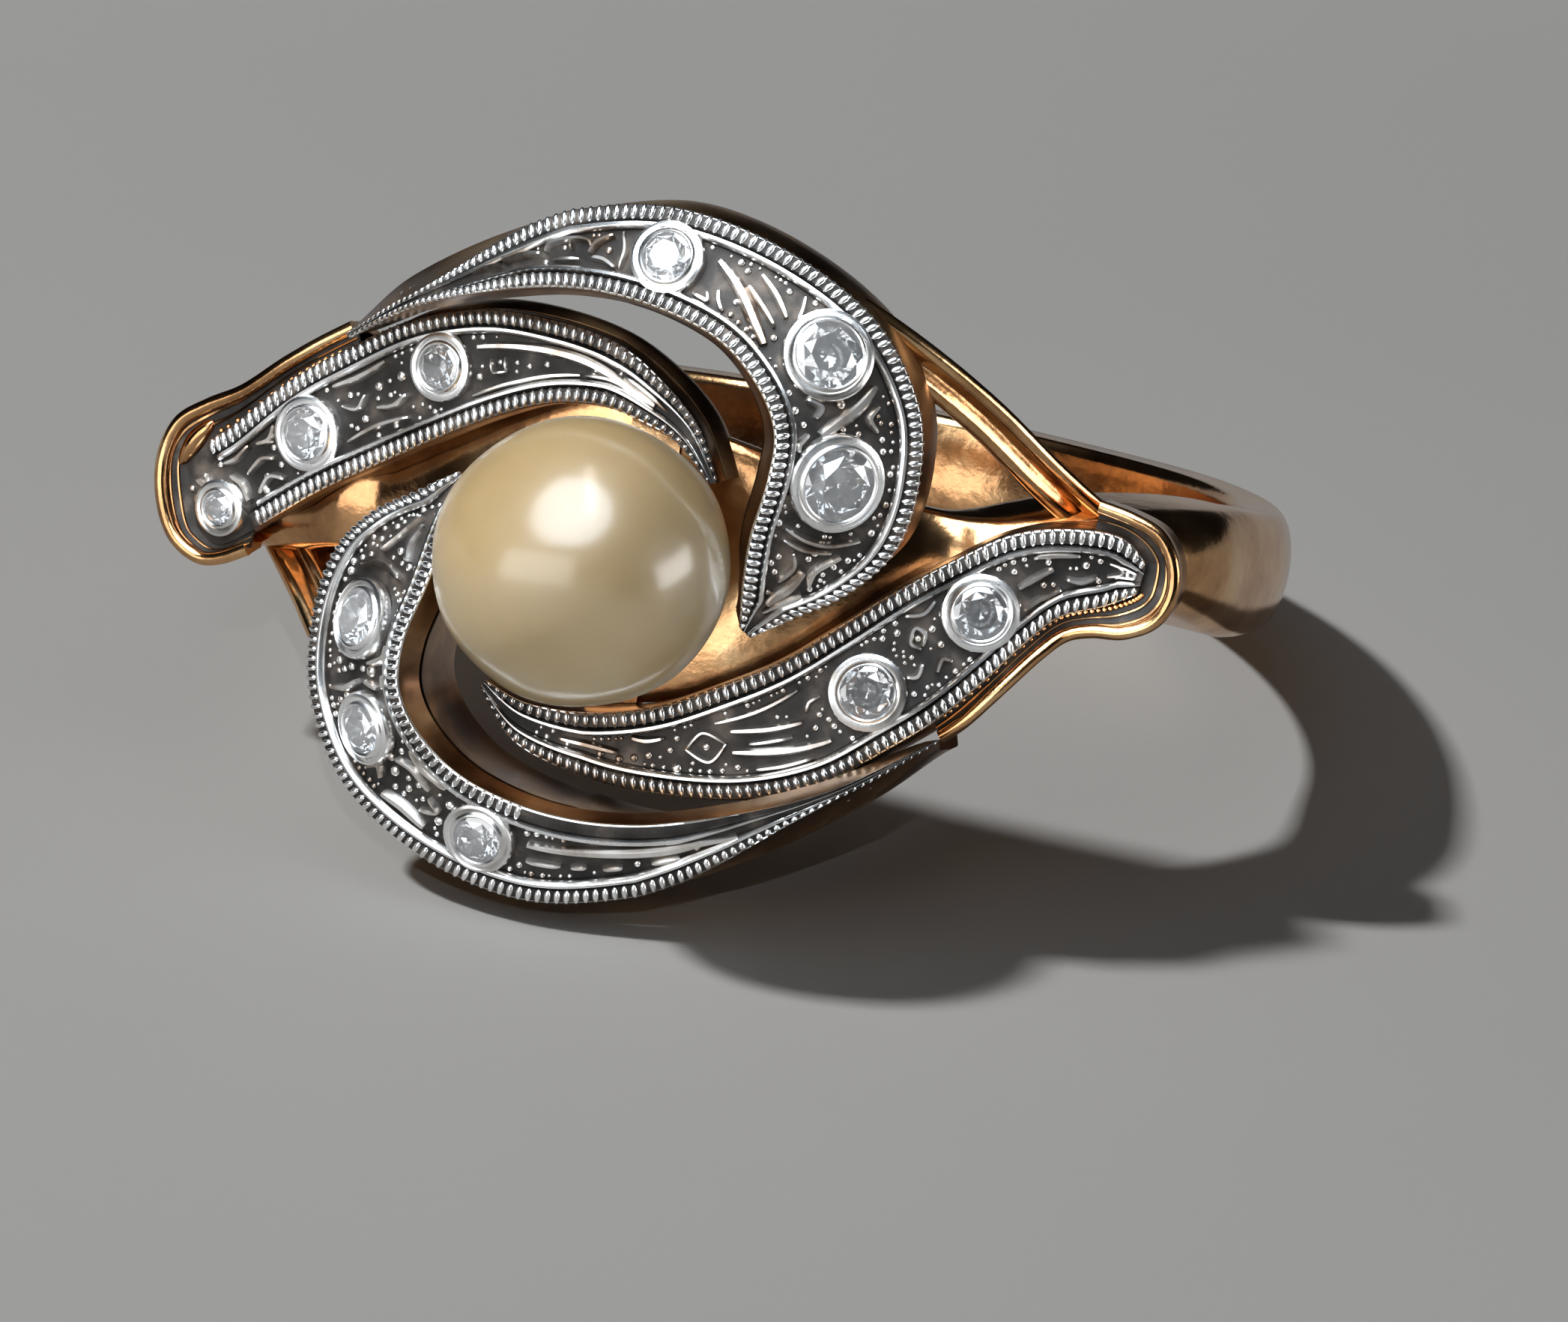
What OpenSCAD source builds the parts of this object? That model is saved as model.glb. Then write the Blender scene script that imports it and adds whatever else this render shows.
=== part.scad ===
// A swirl ring: a cream pearl between four tapering scrolls of white metal on a yellow gold frame.
// It is drawn in the ring's own axes and then laid on its side, as it rests on a table.
// In the ring's own axes X runs round the finger, Y along the finger, and Z from the finger to
// the pearl, with the middle of the finger hole at the origin. All sizes are in millimetres.

/* [Finger hole] */
// Radius of the finger hole
bore_r = 8.6; // [8.4:0.05:8.7]

/* [Shank] */
// Thickness of the shank at the back
shank_t = 1.25; // [1.1:0.05:1.5]
// Half of the shank's width at the back
shank_half_w = 0.95; // [0.8:0.05:1.2]
// Width of the ribs that run from the shoulders to the outer scrolls
rib_w = 0.85; // [0.7:0.05:1]
// Depth of the groove along the ribs
rib_groove = 0.16; // [0.05:0.01:0.2]

/* [Scrolls] */
// Thickness of the white metal at its rims
scroll_t = 0.55; // [0.5:0.01:0.6]
// Width of the rims along both edges
rim_w = 0.3; // [0.2:0.01:0.35]
// Depth of the floor below the rims
floor_d = 0.2; // [0.1:0.01:0.25]
// Gap between the white metal and the gold below it
metal_gap = 0.06; // [0.04:0.01:0.08]
// Depth of the gold wall below an outer scroll, on the side away from the pearl
far_wall = 1.3; // [1:0.05:1.5]
// Depth of the gold wall below an outer scroll, on the side of the pearl
near_wall = 1.9; // [1.5:0.05:2.2]
// Depth of the gold wall below an inner scroll, where the finger hole doesn't cut it shorter
inner_wall = 1.5; // [1.3:0.05:1.7]
// How far the gold stands out at its foot beyond the scroll above it
foot_flare = 0.14; // [0.1:0.01:0.3]
// Radius of the rolled gold lip round the two scroll ends
lip_r = 0.13; // [0.1:0.01:0.2]

/* [Pearl] */
// Diameter of the pearl
pearl_d = 5.3; // [5:0.05:5.4]
// Height of the pearl's middle above the finger's axis
pearl_z = 12.6; // [12.5:0.05:12.8]
// Radius of the cup below the pearl
cup_r = 1.25; // [1:0.05:1.4]
// Radius of the peg that the pearl is glued on
peg_r = 0.35; // [0.3:0.01:0.45]

/* [Stones] */
// Thickness of the collar of metal round each stone
collet_t = 0.14; // [0.1:0.01:0.16]
// Height of that collar above the floor of the scroll
collet_h = 0.14; // [0.1:0.01:0.16]
// Gap between a stone and its collar
stone_gap = 0.02; // [0.01:0.005:0.03]
// Width of a stone's table as a share of the stone
table_share = 0.56; // [0.5:0.01:0.62]

/* [Resting place] */
// How far the finger's axis leans back from upright when the ring lies on its side
lean = 16.07; // [14:0.01:18]
// How far the ring rolls to one side as it lies
roll = 0.97; // [0:0.01:2]
// Shift that puts the middle of the resting ring over the origin, left to right
shift_x = -0.005; // [-1:0.001:1]
// Shift that puts the middle of the resting ring over the origin, front to back
shift_y = 2.605; // [2:0.001:3]
// Height of the finger hole's middle above the table
seat_z = 3.522; // [3:0.001:4]

/* [Hidden] */

$fn = 48;
gold = "#c08a4e";
white_metal = "#d8d8d6";
cream = "#e6d8ae";
stone_colour = "#eef4fa";
pearl_r = pearl_d / 2;
pearl_gap = 0.03;
steps = 3;
seat_below = 0.1;
seat_share = 0.72;
crown_share = 0.3;
star_share = 0.48;
girdle_share = 0.06;
pavilion_share = 0.75;

// The outer scroll over the top, from its thin start on the left to its tip beside the pearl.
// Its far edge is away from the pearl. Columns: x, y, z of the far edge, x, y, z of the near edge.
outer_rows = [
    [-6.38, 2.68, 8.62, -6.20, 2.56, 8.70],
    [-5.20, 4.00, 9.62, -4.62, 3.60, 10.10],
    [-3.40, 5.25, 10.65, -2.90, 4.30, 11.20],
    [-1.70, 6.05, 11.20, -1.40, 4.70, 11.75],
    [0.30, 6.50, 11.50, 0.10, 4.75, 12.05],
    [2.40, 6.15, 11.40, 1.55, 4.45, 12.20],
    [4.20, 5.20, 11.10, 2.50, 3.85, 12.35],
    [5.20, 3.80, 10.75, 3.08, 3.05, 12.45],
    [5.45, 2.40, 10.65, 3.15, 2.12, 12.50],
    [5.25, 1.10, 10.70, 2.95, 1.10, 12.30],
    [4.60, 0.20, 11.00, 2.85, 0.30, 12.00],
    [3.70, -0.45, 11.15, 2.80, -0.25, 11.70],
    [2.95, -0.95, 11.20, 2.80, -0.80, 11.40]
];

// The outer scroll over the bottom is the same after half a turn round the pearl, except for its start,
// which keeps closer to the scroll from the right shoulder.
bottom_rows = concat([
    [-6.24, 2.56, 8.60, -6.08, 2.45, 8.67],
    [-5.14, 3.92, 9.60, -4.60, 3.57, 10.08]
], [for (i = [2 : 12]) outer_rows[i]]);

// The scroll from the left shoulder over the pearl, from its round end to its tip.
left_rows = [
    [-9.40, -0.62, 7.32, -9.02, -1.74, 7.32],
    [-8.97, -0.10, 7.48, -8.46, -1.95, 7.48],
    [-8.45, 0.35, 7.70, -7.55, -1.32, 7.80],
    [-7.40, 1.45, 8.05, -6.57, -0.53, 8.20],
    [-6.30, 2.30, 8.40, -5.40, 0.27, 8.60],
    [-5.00, 3.15, 8.85, -4.25, 1.02, 9.05],
    [-3.60, 3.65, 9.20, -3.03, 1.76, 9.40],
    [-2.20, 3.76, 9.50, -1.98, 2.24, 9.60],
    [-0.90, 3.62, 9.65, -0.97, 2.42, 9.75],
    [0.10, 3.13, 9.80, -0.13, 2.30, 9.80],
    [0.95, 2.45, 9.85, 0.62, 2.05, 9.85],
    [1.50, 1.50, 9.85, 1.35, 1.45, 9.85]
];

// The scroll from the right shoulder below the pearl, from its round end to its tip.
right_rows = [
    [8.98, 0.72, 7.38, 9.05, 1.28, 7.38],
    [8.45, 0.38, 7.53, 8.55, 1.70, 7.53],
    [7.72, 0.05, 7.80, 7.60, 1.70, 7.90],
    [7.22, -0.52, 8.05, 6.65, 1.42, 8.20],
    [6.66, -1.30, 8.35, 5.75, 0.80, 8.50],
    [6.02, -2.10, 8.70, 4.90, 0.10, 8.85],
    [5.26, -2.80, 8.95, 4.00, -0.75, 9.15],
    [4.25, -3.61, 9.20, 3.10, -1.55, 9.40],
    [2.97, -4.14, 9.45, 2.10, -2.20, 9.60],
    [1.50, -4.37, 9.60, 1.00, -2.80, 9.70],
    [-0.02, -4.36, 9.70, -0.20, -3.15, 9.80],
    [-1.47, -3.97, 9.80, -1.40, -3.20, 9.80],
    [-2.30, -3.10, 9.80, -2.20, -2.95, 9.80]
];

// Where each stone sits. Columns: place along its scroll in rows, share of the width from the far
// edge, radius of the stone.
top_stones = [[4.1, 0.5, 0.50], [6.15, 0.44, 0.66], [8.05, 0.54, 0.72]];
bottom_stones = [[8.2, 0.5, 0.56], [6.5, 0.5, 0.50], [4.6, 0.5, 0.50]];
left_stones = [[1.22, 0.66, 0.36], [3.12, 0.5, 0.52], [5.3, 0.44, 0.46]];
right_stones = [[3.75, 0.5, 0.54], [5.95, 0.46, 0.54]];

// The rib from the right shoulder up to the top scroll. Columns: x, y, z of the middle of its top.
rib_rows = [
    [8.60, 0.90, 5.30],
    [7.90, 1.55, 6.30],
    [6.95, 2.40, 7.35],
    [5.90, 3.40, 8.35],
    [4.80, 4.25, 9.30],
    [3.70, 4.90, 10.00],
    [2.70, 5.30, 10.35]
];
rib_depth = 1.3;
rib_undercut = 0.75;
left_rib_in = 0.45;
left_rib_rows =
    [for (i = [0 : 6]) let (r = rib_rows[i]) [left_rib_in * sin(30 * i) - r[0], -r[1], r[2]]];

// Where an outer scroll passes over a lower one, its gold stands back below its near edge.
near_inset = 0.3;
inset_end = 3.7;
inset_share = 0.4;

// The middle of the gold lip that goes round a scroll's end and on along its far edge, as far as the
// outer scroll. Columns: x, y, z.
left_lip_rows = [
    [-7.80, -1.87, 7.55],
    [-8.35, -2.17, 7.40],
    [-8.82, -2.24, 7.30],
    [-9.34, -1.95, 7.25],
    [-9.69, -1.32, 7.20],
    [-9.80, -0.55, 7.20],
    [-9.58, 0.15, 7.25],
    [-9.03, 0.60, 7.35],
    [-8.35, 1.02, 7.50],
    [-7.59, 1.70, 7.70],
    [-6.95, 2.22, 7.80],
    [-6.38, 2.64, 7.82]
];
right_lip_rows = [
    [8.05, 2.18, 7.55],
    [8.68, 2.06, 7.45],
    [9.20, 1.84, 7.35],
    [9.52, 1.35, 7.30],
    [9.58, 0.78, 7.30],
    [9.36, 0.28, 7.35],
    [8.85, -0.02, 7.42],
    [8.28, -0.10, 7.48],
    [7.80, -0.28, 7.52],
    [7.41, -0.70, 7.72],
    [6.85, -1.47, 7.95],
    [6.35, -2.12, 8.00],
    [5.95, -2.50, 7.95]
];
lip_depth = 1.6;
lip_lean = 0.28;
joint_foot = [3.35, -0.8, 8.2];
joint_r = 0.3;
joint_h = 1.6;
seat_bar_w = 1;
seat_bar_from = -3.15;
seat_bar_l = 5.8;
seat_bar_t = 0.3;
cup_grip = 0.14;
peg_below = 0.5;
peg_z = pearl_z - pearl_r - peg_below;
peg_h = pearl_r;

// The shank's right half, from the plate below the pearl by the shoulder, where it swings up towards
// the rib, to the back. Half a turn round the pearl gives the left half. Columns: angle from the
// pearl, outer radius, y of the lower and upper edge.
back_r = bore_r + shank_t;
shank_rows = [
    [1, back_r - 0.82, -3.00, 2.40],
    [12, back_r - 0.78, -2.50, 2.10],
    [23, back_r - 0.65, -1.60, 1.75],
    [34, back_r - 0.45, -0.90, 1.50],
    [39, back_r, -0.45, 1.55],
    [44, back_r + 0.25, 0.00, 1.75],
    [50, back_r + 0.80, 0.20, 1.95],
    [57, back_r + 1.05, 0.30, 2.02],
    [66, back_r + 0.85, -0.10, 2.02],
    [76, back_r + 0.40, -0.52, 1.90],
    [88, back_r + 0.12, -0.66, 1.65],
    [105, back_r, -0.80, 1.38],
    [130, back_r, -0.90, 1.20],
    [155, back_r, -0.94, 1.02],
    [180, back_r, -shank_half_w, shank_half_w]
];
// The bands of the finger hole's inner wall, which follow the shank's swing. Columns: first and last
// angle from the pearl, y of the lower and upper edge.
bore_bands = [[42, 118, 0.6, 1.15], [84, 276, -0.5, 0.5], [242, 318, -1.15, -0.6]];
band_t = 0.5;
wall_clear = 0.03;
foot_clear = 0.1;
bore_fn = 144;
dome_share = 0.34;
dome_side = 0.72;
dome_flat = 0.3;

function unit(v) = v / norm(v);

// A smooth curve through the rows of a table, at row number s.
function at(rows, s) =
    let (i = min(max(floor(s), 0), len(rows) - 2), u = s - i,
        a = rows[max(i - 1, 0)], b = rows[i], c = rows[i + 1], d = rows[min(i + 2, len(rows) - 1)])
    b + (u * (c - a) + u * u * (2 * a - 5 * b + 4 * c - d) + u * u * u * (3 * b - a - 3 * c + d)) / 2;
function places(rows) = [for (k = [0 : (len(rows) - 1) * steps]) k / steps];

// The two edges of a scroll at place s, and its directions there.
function far_edge(r) = [r[0], r[1], r[2]];
function near_edge(r) = [r[3], r[4], r[5]];
function middle(rows, s) = (far_edge(at(rows, s)) + near_edge(at(rows, s))) / 2;
function run(rows, s) =
    let (lo = max(s - 0.2, 0), hi = min(s + 0.2, len(rows) - 1))
    unit(middle(rows, hi) - middle(rows, lo));
function across(rows, s) = unit(near_edge(at(rows, s)) - far_edge(at(rows, s)));
function wide(rows, s) = norm(near_edge(at(rows, s)) - far_edge(at(rows, s)));
function up(rows, s) = unit(cross(across(rows, s), run(rows, s)));

// Triangles round a row of equal loops, with both ends closed.
function loop_faces(rings, n) = [
    for (i = [0 : rings - 2]) for (j = [0 : n - 1])
        let (a = i * n + j, b = i * n + (j + 1) % n)
        each [[a, a + n, b], [b, a + n, b + n]],
    for (j = [1 : n - 2]) [0, j, j + 1],
    let (e = (rings - 1) * n) for (j = [1 : n - 2]) [e, e + j + 1, e + j]
];
module skin(loops) {
    polyhedron(
        points = [for (l = loops) each l],
        faces = loop_faces(len(loops), len(loops[0])),
        convexity = 6
    );
}

// The white metal's section: a channel with two rims.
function channel(rows, s) =
    let (w = wide(rows, s), r = min(rim_w, w / 3), d = floor_d * min(1, w / 3 / rim_w))
    [for (p = [
        [0, -scroll_t], [0, -d / 2], [r / 4, 0], [r * 0.75, 0], [r, -d],
        [w - r, -d], [w - r * 0.75, 0], [w - r / 4, 0], [w, -d / 2], [w, -scroll_t]
    ]) far_edge(at(rows, s)) + across(rows, s) * p[0] + up(rows, s) * p[1]];

// The gold's section below a scroll, with its foot at the given heights and its near side set in.
function backing(rows, s, far_foot, near_foot, inset) =
    let (low = up(rows, s) * (scroll_t + metal_gap),
        f = far_edge(at(rows, s)) - low, n = near_edge(at(rows, s)) - low - across(rows, s) * inset,
        out = unit([f[0] - n[0], f[1] - n[1]]) * foot_flare)
    [
        n, [n[0], n[1], near_foot], [f[0] + out[0], f[1] + out[1], far_foot],
        [f[0] + out[0], f[1] + out[1], (f[2] + far_foot) / 2], f
    ];
function bore_top(x) = sqrt(max(bore_r * bore_r - x * x, 4)) + foot_clear;
function inner_foot(x, z) = max(bore_top(x), z - scroll_t - inner_wall);
function outer_inset(rows, s) =
    min(near_inset * min(max(inset_end - s, 0), 1), wide(rows, s) * inset_share);

module outer_backing(rows) {
    skin([for (s = places(rows)) let (r = at(rows, s))
        backing(rows, s, r[2] - scroll_t - far_wall, r[5] - scroll_t - near_wall, outer_inset(rows, s))]);
}
module inner_backing(rows) {
    skin([for (s = places(rows)) let (r = at(rows, s))
        backing(rows, s, inner_foot(r[0], r[2]), inner_foot(r[3], r[5]), 0)]);
}

module scroll(rows, stones) {
    difference() {
        union() {
            skin([for (s = places(rows)) channel(rows, s)]);
            for (p = stones)
                on_scroll(rows, p)
                    translate([0, 0, -scroll_t])
                        cylinder(r = p[2] + stone_gap + collet_t, h = scroll_t - floor_d + collet_h);
        }
        for (p = stones)
            on_scroll(rows, p) {
                translate([0, 0, -floor_d - seat_below])
                    cylinder(r = p[2] + stone_gap, h = scroll_t * 2);
                translate([0, 0, -2 * scroll_t])
                    cylinder(r = p[2] * seat_share, h = 2 * scroll_t);
            }
    }
}

// Puts a part on a scroll where a row of its stone table says, level with the rims.
module on_scroll(rows, p) {
    x = across(rows, p[0]);
    z = up(rows, p[0]);
    y = cross(z, x);
    c = far_edge(at(rows, p[0])) + x * wide(rows, p[0]) * p[1];
    multmatrix([
        [x[0], y[0], z[0], c[0]], [x[1], y[1], z[1], c[1]], [x[2], y[2], z[2], c[2]], [0, 0, 0, 1]
    ])
        children();
}

// A round brilliant: table, star, kite and girdle facets above, and a pointed pavilion below.
module brilliant(r) {
    t = r * table_share;
    crown = r * crown_share;
    girdle = r * girdle_share;
    function ring(n, rr, z, turn) =
        [for (i = [0 : n - 1]) let (a = 360 / n * i + turn) [rr * cos(a), rr * sin(a), z]];
    points = concat(
        ring(8, t, crown, 22.5), ring(8, (r + t) / 2, crown * star_share, 0),
        ring(16, r, girdle / 2, 0), ring(16, r, -girdle / 2, 0), [[0, 0, -r * pavilion_share]]
    );
    polyhedron(points = points, faces = [
        for (i = [1 : 6]) [0, i + 1, i],
        for (i = [0 : 7]) let (k = (i + 1) % 8) each [
            [i, 8 + k, 8 + i], [i, k, 8 + k],
            [8 + i, 8 + k, 16 + 2 * i + 1],
            [8 + i, 16 + 2 * i + 1, 16 + 2 * i],
            [8 + k, 16 + (2 * i + 2) % 16, 16 + 2 * i + 1]
        ],
        for (i = [0 : 15]) let (k = (i + 1) % 16) each [
            [16 + i, 16 + k, 32 + k], [16 + i, 32 + k, 32 + i], [32 + i, 32 + k, 48]
        ]
    ], convexity = 4);
}

module shank_body() {
    half = [for (k = [0 : (len(shank_rows) - 1) * steps]) at(shank_rows, k / steps)];
    other = [for (k = [1 : len(half) - 1])
        let (r = half[len(half) - 1 - k]) [360 - r[0], r[1], -r[3], -r[2]]];
    skin([for (r = concat(half, other))
        let (sx = sin(r[0]), sz = cos(r[0]), o = r[1], i = bore_r + wall_clear,
            c = (r[3] + r[2]) / 2, w = (r[3] - r[2]) / 2,
            b = (o - bore_r) * dome_share, side = w * dome_side, flat = w * dome_flat)
        [for (p = [
            [i, w], [o - b, w], [o - b / 3, side], [o, flat],
            [o, -flat], [o - b / 3, -side], [o - b, -w], [i, -w]
        ]) [p[0] * sx, c + p[1], p[0] * sz]]]);
}

// The true inner wall of the finger hole, open towards the pearl.
module bore_wall() {
    for (b = bore_bands)
        rotate([90, 0, 0])
            rotate([0, 0, 90 - b[1]])
                rotate_extrude(angle = b[1] - b[0], $fn = bore_fn)
                    translate([bore_r, -b[3]])
                        square([band_t, b[3] - b[2]]);
}

// A gold strip with a grooved top, along a row of points, cut back below on its outer side.
module strip(rows, w, depth, groove, undercut) {
    skin([for (k = [0 : (len(rows) - 1) * 2])
        let (s = k / 2, c = at(rows, s), side = unit(cross(strip_run(rows, s), [0, 0, 1])) * w / 2)
        [
            c - side - [0, 0, depth], c - side, c - side * 0.5 + [0, 0, groove / 2], c - [0, 0, groove],
            c + side * 0.5 + [0, 0, groove / 2], c + side, c + side * (1 - undercut) - [0, 0, depth]
        ]]);
}
function strip_run(rows, s) = unit(at(rows, min(s + 0.2, len(rows) - 1)) - at(rows, max(s - 0.2, 0)));

// A rolled lip on a wall that leans in below it.
module lip(rows) {
    skin([for (s = places(rows))
        let (c = at(rows, s), ahead = at(rows, min(s + 0.2, len(rows) - 1)) - at(rows, max(s - 0.2, 0)),
            side = unit([-ahead[1], ahead[0], 0]))
        [for (p = [
            [-lip_r, -scroll_t], [-lip_depth * lip_lean, -lip_depth], [lip_r / 2, -lip_depth / 2],
            [lip_r, 0], [lip_r * 0.6, lip_r * 0.8], [-lip_r * 0.6, lip_r * 0.8], [-lip_r, 0]
        ]) c + side * p[0] + [0, 0, p[1]]]]);
}

// A bar over the finger hole joins the two plates and carries the cup and the peg of the pearl.
module pearl_seat() {
    translate([-seat_bar_w / 2, seat_bar_from, bore_r + foot_clear])
        cube([seat_bar_w, seat_bar_l, seat_bar_t]);
    difference() {
        translate([0, 0, bore_r + foot_clear * 2])
            cylinder(r = cup_r, h = pearl_z - pearl_r * (1 - cup_grip) - bore_r);
        translate([0, 0, pearl_z])
            sphere(r = pearl_r + pearl_gap);
    }
    translate([0, 0, peg_z])
        cylinder(r = peg_r, h = peg_h);
}

// Where the tip of an outer scroll is soldered to the scroll from the shoulder.
module tip_joint() {
    translate(joint_foot)
        cylinder(r = joint_r, h = joint_h);
}

module frame_metal() {
    shank_body();
    bore_wall();
    outer_backing(outer_rows);
    tip_joint();
    rotate([0, 0, 180]) {
        outer_backing(bottom_rows);
        tip_joint();
    }
    strip(rib_rows, rib_w, rib_depth, rib_groove, rib_undercut);
    strip(left_rib_rows, rib_w, rib_depth, rib_groove, rib_undercut);
    inner_backing(left_rows);
    inner_backing(right_rows);
    lip(left_lip_rows);
    lip(right_lip_rows);
    pearl_seat();
}

module as_it_rests() {
    translate([shift_x, shift_y, seat_z])
        rotate([90 - lean, roll, 0])
            children();
}

module gold_frame() {
    color(gold) as_it_rests() frame_metal();
}
module top_scroll() {
    color(white_metal) as_it_rests() scroll(outer_rows, top_stones);
}
module bottom_scroll() {
    color(white_metal) as_it_rests() rotate([0, 0, 180]) scroll(bottom_rows, bottom_stones);
}
module left_scroll() {
    color(white_metal) as_it_rests() scroll(left_rows, left_stones);
}
module right_scroll() {
    color(white_metal) as_it_rests() scroll(right_rows, right_stones);
}
module pearl() {
    color(cream) as_it_rests() difference() {
        translate([0, 0, pearl_z])
            sphere(r = pearl_r);
        translate([0, 0, peg_z])
            cylinder(r = peg_r + pearl_gap, h = peg_h + pearl_gap);
    }
}
module stone(rows, p) {
    color(stone_colour) as_it_rests() on_scroll(rows, p) brilliant(p[2]);
}
module turned_stone(rows, p) {
    color(stone_colour) as_it_rests() rotate([0, 0, 180]) on_scroll(rows, p) brilliant(p[2]);
}

gold_frame();
top_scroll();
left_scroll();
bottom_scroll();
right_scroll();
pearl();
stone(outer_rows, top_stones[0]);  // top_stone_1
stone(outer_rows, top_stones[1]);  // top_stone_2
stone(outer_rows, top_stones[2]);  // top_stone_3
stone(left_rows, left_stones[0]);  // left_stone_1
stone(left_rows, left_stones[1]);  // left_stone_2
stone(left_rows, left_stones[2]);  // left_stone_3
turned_stone(bottom_rows, bottom_stones[0]);  // bottom_stone_1
turned_stone(bottom_rows, bottom_stones[1]);  // bottom_stone_2
turned_stone(bottom_rows, bottom_stones[2]);  // bottom_stone_3
stone(right_rows, right_stones[0]);  // right_stone_1
stone(right_rows, right_stones[1]);  // right_stone_2
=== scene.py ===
# A swirl ring that lies on its side: a cream pearl between four scrolls of white metal set with
# diamonds, on a frame of reddish yellow gold. The ring's own axes are X across the finger, Y along the
# finger and Z from the finger to the pearl, in millimetres from the middle of the finger hole.
import math

import bmesh
import bpy
import numpy as np
from mathutils import Matrix, Vector


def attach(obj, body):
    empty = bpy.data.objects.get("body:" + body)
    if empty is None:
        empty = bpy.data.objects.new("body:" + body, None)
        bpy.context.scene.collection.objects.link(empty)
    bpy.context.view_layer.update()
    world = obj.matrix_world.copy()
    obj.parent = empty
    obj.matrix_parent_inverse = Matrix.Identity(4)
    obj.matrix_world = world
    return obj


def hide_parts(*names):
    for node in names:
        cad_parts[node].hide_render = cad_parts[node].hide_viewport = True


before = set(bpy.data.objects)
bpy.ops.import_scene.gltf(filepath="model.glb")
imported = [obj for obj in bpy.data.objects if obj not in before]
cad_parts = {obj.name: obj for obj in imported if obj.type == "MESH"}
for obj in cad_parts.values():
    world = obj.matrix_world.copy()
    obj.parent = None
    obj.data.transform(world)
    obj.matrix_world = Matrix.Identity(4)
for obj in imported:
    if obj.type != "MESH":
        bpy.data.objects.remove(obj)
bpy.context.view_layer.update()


# How the ring lies, and the camera
# The ring rests on the edge of its shank and on the walls of its lower scroll. The camera looks at
# the pearl from the photograph's side, a little above the table, through a long lens.
ring_lean = math.radians(16.07)
ring_roll = math.radians(0.97)
ring_seat = np.array((-0.005, 2.605, 3.522))
ring_turn = np.array(Matrix.Rotation(ring_roll, 3, "Y") @ Matrix.Rotation(math.pi / 2 - ring_lean, 3, "X"))
mm = 0.001
pearl_middle = np.array((0.0, 0.0, 12.6))


def laid(points):
    """Points in the ring's own axes, in millimetres, as they lie on the table, in metres."""
    return (np.asarray(points, float) @ ring_turn.T + ring_seat) * mm


side_angle, end_angle, tilt_angle = (math.radians(a) for a in (14.5, 9.0, 9.8))
view_back = np.array((
    math.sin(side_angle) * math.cos(end_angle),
    math.sin(end_angle),
    math.cos(side_angle) * math.cos(end_angle),
))
level_right = np.array((math.cos(side_angle), 0.0, -math.sin(side_angle)))
level_up = np.cross(view_back, level_right)
view_right = level_right * math.cos(tilt_angle) + level_up * math.sin(tilt_angle)
view_up = level_up * math.cos(tilt_angle) - level_right * math.sin(tilt_angle)
camera_far, camera_right, camera_down = 215, 3.629, 1.774
camera_spot = laid(
    pearl_middle + camera_far * view_back + camera_right * view_right - camera_down * view_up
)

camera_data = bpy.data.cameras.new("camera")
camera_data.sensor_width = 36
camera_data.lens = 275.1
camera_data.clip_start, camera_data.clip_end = 0.01, 10
camera = bpy.data.objects.new("camera", camera_data)
bpy.context.scene.collection.objects.link(camera)
camera_axes = np.array([view_right, view_up, view_back]) @ ring_turn.T
camera.matrix_world = Matrix.Translation(camera_spot) @ Matrix(camera_axes.T.tolist()).to_4x4()
bpy.context.scene.camera = camera


# Table and light
# A plain pale table top. A small lamp at the left throws the shadow, with a weak soft box in front. The
# round box over the camera and the cards, low in front, at the right and overhead, give reflections only.
def colour_steps(ramp, *stops):
    """Sets a colour ramp's stops from (place, grey or colour) pairs."""
    while len(ramp.color_ramp.elements) < len(stops):
        ramp.color_ramp.elements.new(1.0)
    for element, (place, colour) in zip(ramp.color_ramp.elements, stops):
        element.position = place
        element.color = (*((colour,) * 3 if isinstance(colour, (int, float)) else colour), 1)


def new_finish(name, grain_scale, grain_detail, stops, sockets, own_axes=True):
    """A finish whose colour wanders between the stops with a grain. Gives the grain's node too."""
    finish = bpy.data.materials.new(name)
    finish.use_nodes = True
    nodes, links = finish.node_tree.nodes, finish.node_tree.links
    shader = nodes["Principled BSDF"]
    for socket, value in sockets.items():
        shader.inputs[socket].default_value = value
    grain = nodes.new("ShaderNodeTexNoise")
    grain.inputs["Scale"].default_value = grain_scale
    grain.inputs["Detail"].default_value = grain_detail
    if own_axes:
        links.new(nodes.new("ShaderNodeTexCoord").outputs["Object"], grain.inputs["Vector"])
    tint = nodes.new("ShaderNodeValToRGB")
    colour_steps(tint, *stops)
    links.new(grain.outputs["Fac"], tint.inputs["Fac"])
    links.new(tint.outputs["Color"], shader.inputs["Base Color"])
    return finish, grain


table_paper, _ = new_finish(
    "table_paper", 60, 5, [(0.35, (0.45, 0.448, 0.44)), (0.65, (0.48, 0.477, 0.467))],
    {"Roughness": 0.6, "Specular IOR Level": 0.12}, own_axes=False,
)
bpy.ops.mesh.primitive_plane_add(size=4, location=(0, 0, 0))
table = bpy.context.object
table.name = "table"
table.data.materials.append(table_paper)


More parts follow.
